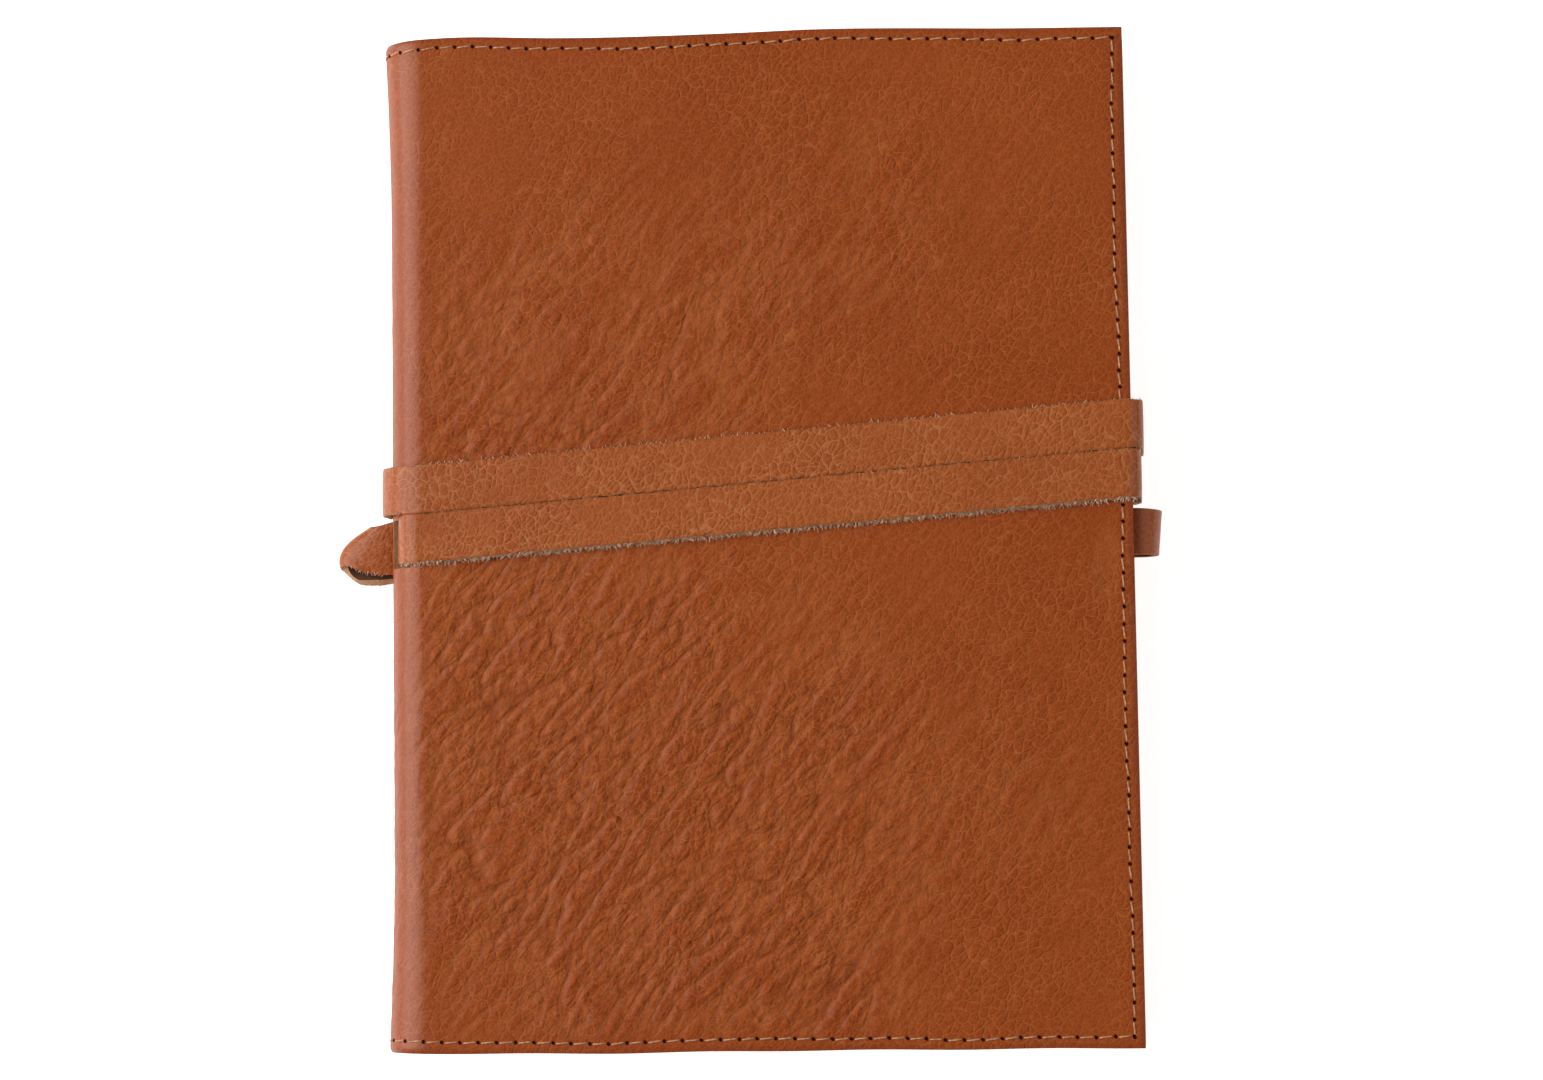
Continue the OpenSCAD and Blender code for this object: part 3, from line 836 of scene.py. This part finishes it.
# Painted shade: the flesh side is painted near black, standing in for the shade inside the tucked fold and under the
# strap.
FLESH_SHADE = raw_edge_finish("flesh side", (0.13, 0.06, 0.034), (0.06, 0.026, 0.015))
for piece in (strap_turns, strap_tail):
    for slot, material in enumerate((STRAP_LEATHER, FLESH_SHADE, STRAP_RAW)):
        piece.data.materials[slot] = material
    smooth(piece, 45)
    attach(piece, "back")
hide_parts("strap_front_lower", "strap_fore_lower", "strap_back_inner", "strap_spine_turn",
            "strap_front_upper", "strap_fore_upper")
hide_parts("strap_back_outer", "strap_tail")
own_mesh(strap_turns)
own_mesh(strap_tail)

# %% [markdown]
# ### Fibres on the raw edges
#
# A cut edge of soft leather sheds short pale fibres. One bent fibre with a dozen faces is modelled and set along
# the strap's lower edges, where the strap was cut across its looser side. Each copy gets its own lean and length.

# %% Loose fibres
def one_fibre():
    nothing()
    bpy.ops.mesh.primitive_cone_add(vertices=3, radius1=0.08 * MM, radius2=0.03 * MM, depth=1 * MM, end_fill_type="NGON", location=(0, 0, 0.4 * MM))
    piece = settle("fibre")
    pick(piece, lambda p: 0.1 * MM < p.z < 0.8 * MM, "EDGE")
    bpy.ops.mesh.subdivide(number_cuts=1)
    bpy.ops.object.mode_set(mode="OBJECT")
    for point in piece.data.vertices:
        point.co.x += 0.16 * MM * (point.co.z / (0.9 * MM)) ** 2
    return piece


def copies(pattern, name, places):
    """Joins one copy of the pattern, with its own mesh, at every place."""
    made = []
    for place in places:
        copy = pattern.copy()
        copy.data = pattern.data.copy()
        copy.data.transform(place)
        bpy.context.scene.collection.objects.link(copy)
        made.append(copy)
    nothing()
    for copy in made:
        copy.select_set(True)
    bpy.context.view_layer.objects.active = made[0]
    bpy.ops.object.join()
    return settle(name)


def fringe(rails, side, per_mm, first, last, slant=0.0):
    """Places along one edge of a strip between two stations. Side 0 is the lower edge and 1 the upper."""
    places = []
    for i in range(first, last):
        here, there = rails[i][side], rails[i + 1][side]
        outward = (rails[i][side] - rails[i][1 - side]).normalized()
        along = (there - here).normalized()
        face = outward.cross(along).normalized()
        for _ in range(int(per_mm * (there - here).length / MM + rng.random())):
            depth = (rng.random() - 0.5) * 0.9
            root = here.lerp(there, rng.random()) + face * STRAP * depth + outward * (slant * (0.5 - depth) - 0.15 * MM)
            aim = (outward + along * jitter(1.3) + face * jitter(0.6)).normalized()
            turn = aim.to_track_quat("Z", "X").to_matrix().to_4x4()
            places.append(Matrix.Translation(root) @ turn @ Matrix.Rotation(rng.random() * 6.28, 4, "Z") @ Matrix.Diagonal((1, 1, 0.5 + 0.9 * rng.random(), 1)))
    return places


def jitter(amount):
    return (rng.random() - 0.5) * 2 * amount


fibre = one_fibre()
FIBRE = Finish("leather fibre")
FIBRE.end(Base_Color=FIBRE.mix(FIBRE.cloud(FIBRE.place(), 400, 2), (0.56, 0.36, 0.23), (0.92, 0.76, 0.60)), Roughness=0.9, Specular_IOR_Level=0.1)
wound = centre_line(route)
over_lower = len(out_of_slot)
over_upper = len(route) - len(FORE_UPPER) - 220
for name, places, keep_share in (("strap_fibres", fringe(wound, 0, 5, 4, over_lower + 222, 0.5 * MM) + fringe(wound, 0, 1.2, over_upper, len(route) - 14)
                                  + fringe(wound, 1, 1.2, over_upper, len(route) - 14), 0.16),
                                 ("tail_fibres", fringe(tail_rails, 0, 2.2, len(behind), len(behind) + 62), 0.6)):
    piece = copies(fibre, name, places)
    dress(piece, FIBRE.material)
    smooth(piece, 60)
    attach(piece, "back")
    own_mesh(piece)
    print(piece.name, len(places), "fibres", triangles(piece), "triangles")
bpy.data.objects.remove(fibre)

# %% [markdown]
# ## Lining and sleeves
#
# Inside, a thin suede lining is glued to the hide right up to its cut edge, so it is the same rolled sheet made
# again, one hide's thickness further in. The sleeves are flat sheets with their middle lifted, to let the boards
# of the refill slide in, and a sewn-down lip on three sides.

# %% Lining
def lay_plain(piece):
    for point in piece.data.vertices:
        point.co = wrap(*unwrap(point.co))


def suede_finish():
    finish = Finish("suede lining")
    where = finish.place()
    nap = finish.cloud(where, 1400, 4, 0.75)
    brushed = finish.cloud(where, 60, 3, 0.6, 0.8)
    colour = finish.mix(brushed.ramp(0.3, 0.7), (0.165, 0.072, 0.030), (0.235, 0.115, 0.052))
    colour = finish.mix(nap.ramp(0.45, 0.8) * 0.45, colour, (0.34, 0.185, 0.095))
    return finish.end(Base_Color=colour, Roughness=0.95, Specular_IOR_Level=0.1, Sheen_Weight=0.25, Normal=finish.bump(nap, 0.0002, 0.8))


SUEDE = suede_finish()
lining_upper = half_cover("lining_upper", ROLL - HIDE - 0.01 * MM, LINING - 0.2 * MM, True, 0)
lining_lower = half_cover("lining_lower", ROLL - HIDE - 0.01 * MM, LINING - 0.2 * MM, False, 0)
for piece in (lining_upper, lining_lower):
    lay_plain(piece)
    dress(piece, SUEDE)
    smooth(piece, 40)
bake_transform(lining_upper)
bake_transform(lining_lower)
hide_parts("lining_front")
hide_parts("lining_back", "lining_spine")
print("lining", triangles(lining_upper), "triangles a half")

# %% [markdown]
# ### The sleeves
#
# Each sleeve is a grid whose middle is lifted off the cover, to make room for a board. A little noise gives the
# slack that a sheet sewn only at its lip has.

# %% Sleeves
def sleeve(name, node, side):
    """A sheet sewn down by its lip on three sides and open towards the spine."""
    low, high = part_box(node)
    sheet = 0.8 * MM
    lip = 4 * MM
    lift = (high.z - low.z) - sheet
    base = (low.z if side < 0 else high.z) - side * sheet / 2
    nothing()
    bpy.ops.mesh.primitive_grid_add(x_subdivisions=46, y_subdivisions=144, size=1, location=((low.x + high.x) / 2, 0, base))
    bpy.context.object.scale = (high.x - low.x, high.y - low.y, 1)
    piece = settle(name)
    pick(piece, lambda p: p.x < high.x - lip and abs(p.y) < HALF - lip)
    bpy.ops.transform.translate(value=(0, 0, -side * lift))
    bpy.ops.object.mode_set(mode="OBJECT")
    for point in piece.data.vertices:
        x, y, z = point.co
        inner = max(0, min(high.x - lip - x, HALF - lip - abs(y)) / (3 * MM))
        soft = 0.25 * MM * (noise.noise(Vector((x * 50, y * 30, side * 3))) - 0.3) * min(1, inner)
        point.co = hand_cut(x, y, z - side * soft)
    dress(piece, None, None, None)
    modify(piece, "SOLIDIFY", thickness=sheet, offset=0, material_offset=0, material_offset_rim=2)
    modify(piece, "BEVEL", width=0.2 * MM, segments=2, limit_method="ANGLE", angle_limit=math.radians(60))
    return piece


def sleeve_finish():
    finish, where, colour, height, patchy = leather("sleeve leather", (0.300, 0.075, 0.018), (0.262, 0.060, 0.012),
                                                    (0.220, 0.046, 0.008), (0.36, 0.110, 0.035), attribute=None)
    return finish.end(Base_Color=colour, Roughness=0.55 + patchy * 0.12, Normal=finish.bump(height, 0.00009, 0.9),
                      Specular_IOR_Level=0.12, Coat_Weight=0.2, Coat_Roughness=0.35)


SLEEVE_LEATHER = sleeve_finish()
for name, node, side, body in (("sleeve_upper", "sleeve_front", 1, "front"), ("sleeve_lower", "sleeve_back", -1, "back")):
    piece = sleeve(name, node, side)
    for slot, material in enumerate((SLEEVE_LEATHER, SLEEVE_LEATHER, HIDE_EDGE)):
        piece.data.materials[slot] = material
    smooth(piece, 40)
    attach(piece, body)
    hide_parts(node)
    print(piece.name, triangles(piece), "triangles")

# %% [markdown]
# ## Pen loop
#
# A short strip is sewn to the lip of the back sleeve, goes once round the pen and comes back on itself. It is
# laid along its route as the strap is.

# %% Pen loop
loop_low, loop_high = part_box("pen_loop")
LOOP = 1.4 * MM
loop_radius = (loop_high.z - loop_low.z) / 2
loop_x, loop_z, bend = loop_high.x - loop_radius, loop_low.z + loop_radius, loop_radius - LOOP / 2
loop_route = run((FORE_X - 3.9 * MM, 0, loop_z - bend), (loop_x, 0, loop_z - bend), 0.6 * MM)
loop_route += [Vector((x, 0, z)) for x, z in arc(loop_x, loop_z, bend, -180, 131, 46)]


def loop_rails():
    """The strip is cut a little narrower towards its outer bend, which also leans."""
    for point in loop_route:
        out = max(0, point.x - loop_x) / bend
        yield (point + Vector((-0.75 * MM * out, -5.0 * MM, 0)), point + Vector((0.05 * MM * out, 5.0 * MM - 0.25 * MM * out, 0)))


pen_loop = strip("pen_loop_strip", list(loop_rails()), LOOP, 0.06 * MM)


def loop_finish():
    finish, where, colour, height, patchy = leather("pen loop leather", (0.360, 0.080, 0.015), (0.325, 0.067, 0.010),
                                                    (0.285, 0.055, 0.009), (0.42, 0.13, 0.04))
    return finish.end(Base_Color=colour, Roughness=0.5 + patchy * 0.1, Normal=finish.bump(height, 0.00008, 0.9),
                      Specular_IOR_Level=0.1, Coat_Weight=0.42, Coat_Roughness=0.3)


LOOP_LEATHER = loop_finish()
for slot, material in enumerate((LOOP_LEATHER, LOOP_LEATHER, STRAP_RAW)):
    pen_loop.data.materials[slot] = material
smooth(pen_loop, 45)
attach(pen_loop, "back")
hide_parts("pen_loop")
print(pen_loop.name, triangles(pen_loop), "triangles")

# %% [markdown]
# ## Refill and hidden strap end
#
# The refill's boards, its leaves and the strap end glued under the hide keep their CAD shapes. They only need
# their own materials: grey-brown board with flecks, and paper whose edges show as many fine lines, since the
# leaves are stacked along Z.

# %% Board, paper and glued strap end
def board_finish():
    finish = Finish("grey board")
    where = finish.place()
    pulp = finish.cloud(where, 700, 4, 0.7)
    fleck = finish.cells(where, 900)
    colour = finish.mix(pulp.ramp(0.3, 0.7), (0.085, 0.062, 0.045), (0.14, 0.105, 0.078))
    colour = finish.mix((1 - fleck.ramp(0.05, 0.18)) * 0.5, colour, (0.30, 0.25, 0.19))
    return finish.end(Base_Color=colour, Roughness=0.9, Specular_IOR_Level=0.2, Normal=finish.bump(pulp, 0.00008, 0.6))


def paper_finish():
    finish = Finish("ivory paper")
    leaves = finish.cloud(finish.place(stretch=(0.02, 0.02, 1)), 9000, 2, 0.6)
    fibre = finish.cloud(finish.place(), 1500, 4, 0.7)
    facing = finish.node("NewGeometry", {}, {}, "True Normal")
    flat = finish.node("VectorMath", {"operation": "DOT_PRODUCT"}, {0: facing, 1: (0, 0, 1)}, "Value").maths("ABSOLUTE")
    side = 1 - flat.ramp(0.3, 0.9)
    colour = finish.mix((1 - leaves.ramp(0.35, 0.62)) * side, (0.84, 0.80, 0.69), (0.56, 0.50, 0.39))
    colour = finish.mix(fibre.ramp(0.4, 0.75) * 0.16, colour, (0.76, 0.70, 0.57))
    return finish.end(Base_Color=colour, Roughness=0.85, Specular_IOR_Level=0.2, Normal=finish.bump(leaves * side, 0.0001, 0.8))


BOARD, PAPER = board_finish(), paper_finish()
for node, material in (("refill_back_board", BOARD), ("refill_front_board", BOARD), ("pages_back", PAPER), ("pages_front", PAPER), ("strap_anchor", STRAP_LEATHER)):
    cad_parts[node].data.materials[0] = material
print("CAD nodes dressed")

# %% [markdown]
# ## Stitches
#
# Each stitch is a short length of waxed thread that comes up out of one hole and goes down into the next, a
# little aslant. One stitch is modelled and copied along the rows, and so is one hole, a shallow pit with a
# pressed rim, painted near black as the shade inside the hole. A copy is turned to lie in the leather: `lay` works
# out the leather's own directions at a place.

# %% One stitch and one hole
def one_stitch():
    """Thread along X, one metre long so that it can be scaled to the pitch, 36 faces."""
    nothing()
    bpy.ops.mesh.primitive_cylinder_add(vertices=6, radius=0.20 * MM, depth=1, end_fill_type="NGON", rotation=(0, math.pi / 2, 0))
    piece = settle("stitch")
    pick(piece, lambda p: abs(p.x) < 0.4, "EDGE")
    bpy.ops.mesh.subdivide(number_cuts=5)
    bpy.ops.object.mode_set(mode="OBJECT")
    for point in piece.data.vertices:
        x = point.co.x
        sag = max(0.0, abs(x) - 0.28) / 0.22
        point.co.z = point.co.z * (1 - 0.25 * sag) + (0.10 - 0.42 * sag ** 2) * MM
        point.co.y = point.co.y * (1 - 0.25 * sag) + 0.13 * MM * math.sin(x * math.pi)
        point.co.x = x * 0.82
    return piece


def one_hole():
    nothing()
    bpy.ops.mesh.primitive_circle_add(vertices=10, radius=1, fill_type="NGON")
    piece = settle("hole")
    pick(piece, lambda p: True)
    bpy.ops.mesh.inset(thickness=0.3, depth=-0.05)
    bpy.ops.object.mode_set(mode="OBJECT")
    for point in piece.data.vertices:
        point.co = Vector((point.co.x * 0.36 * MM, point.co.y * 0.46 * MM, point.co.z * MM))
    return piece


def lay(across, up, heading):
    """Matrix that sets something on the leather, its X along the heading and its Z out of the leather."""
    height = skin(across, up)[0]
    here = wrap(across, up, -height)
    out = (wrap(across, up, -1 * MM) - wrap(across, up, 1 * MM)).normalized()
    step = 0.3 * MM
    ahead = wrap(across + math.cos(heading) * step, up + math.sin(heading) * step) - wrap(across - math.cos(heading) * step, up - math.sin(heading) * step)
    x = (ahead - out * ahead.dot(out)).normalized()
    y = out.cross(x)
    turned = Matrix((x, y, out)).transposed().to_4x4()
    return Matrix.Translation(here) @ turned


def rows(upper):
    """Hole places along the head, fore edge and tail of one half, as (across, up)."""
    fore = row_across(0)
    end = -ROUND / 2
    flip = (lambda across: across) if upper else (lambda across: -ROUND - across)
    head = [(fore - i * PITCH_ALONG, 1) for i in range(int((fore - end) / PITCH_ALONG) + 1)]
    lines = []
    for side in (1, -1):
        lines.append([(flip(a), row_up(flip(a), side)) for a, _ in head])
    length = 2 * (HALF - MARGIN)
    count = round(length / PITCH_UP)
    lines.append([(flip(row_across(-length / 2 + length * i / count)), -length / 2 + length * i / count) for i in range(count + 1)])
    return lines


stitch, hole = one_stitch(), one_hole()
print("stitch", triangles(stitch), "hole", triangles(hole), "rows", [len(line) for line in rows(True)])

# %% [markdown]
# ### Sewing
#
# The rows run a little unevenly, as a hand-guided machine sews them, and follow the roll round the spine, so the
# stitches are placed on the flat pattern and carried over with the leather.

# %% Sew the rows
THREAD = Finish("waxed thread")
ply = THREAD.node("TexWave", {"wave_type": "BANDS", "bands_direction": "DIAGONAL"}, {"Vector": THREAD.place(), "Scale": 420.0, "Distortion": 1.0})
twist = THREAD.cloud(THREAD.place(), 1500, 2)
THREAD.end(Base_Color=THREAD.mix(twist.ramp(0.3, 0.7), (0.36, 0.165, 0.075), (0.56, 0.30, 0.155)), Roughness=0.6,
           Normal=THREAD.bump(ply, 0.00008, 0.5), Specular_IOR_Level=0.3)
# Painted shade: the holes are coloured near black, standing in for the shade inside them.
HOLE_SHADE = Finish("dark hole")
HOLE_SHADE.end(Base_Color=HOLE_SHADE.mix(HOLE_SHADE.cloud(HOLE_SHADE.place(), 900, 2), (0.006, 0.0018, 0.001), (0.022, 0.006, 0.003)), Roughness=0.9, Specular_IOR_Level=0.05)

for upper in (True, False):
    threads, pits = [], []
    for line in rows(upper):
        places = [(a + jitter(0.12 * MM), u + jitter(0.07 * MM)) for a, u in line]
        for a, u in places:
            pits.append(lay(a, u, 0) @ Matrix.Translation((0, 0, 0.14 * MM)) @ Matrix.Rotation(0.5 + jitter(0.4), 4, "Z"))
        for (a, u), (b, v) in zip(places, places[1:]):
            heading = math.atan2(v - u, b - a)
            reach = math.hypot(b - a, v - u)
            threads.append(lay((a + b) / 2, (u + v) / 2, heading) @ Matrix.Diagonal((reach, 1, 1, 1)))
    word = "upper" if upper else "lower"
    for piece, material in ((copies(stitch, "stitches_" + word, threads), THREAD.material), (copies(hole, "stitch_holes_" + word, pits), HOLE_SHADE.material)):
        dress(piece, material)
        smooth(piece, 60)
        if upper:
            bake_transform(piece)
        else:
            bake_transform(piece)
        if "stitches" in piece.name:
            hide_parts(*(("thread_front",) if upper else ("thread_back", "thread_spine")))
        print(piece.name, triangles(piece), "triangles")
for pattern in (stitch, hole):
    bpy.data.objects.remove(pattern)
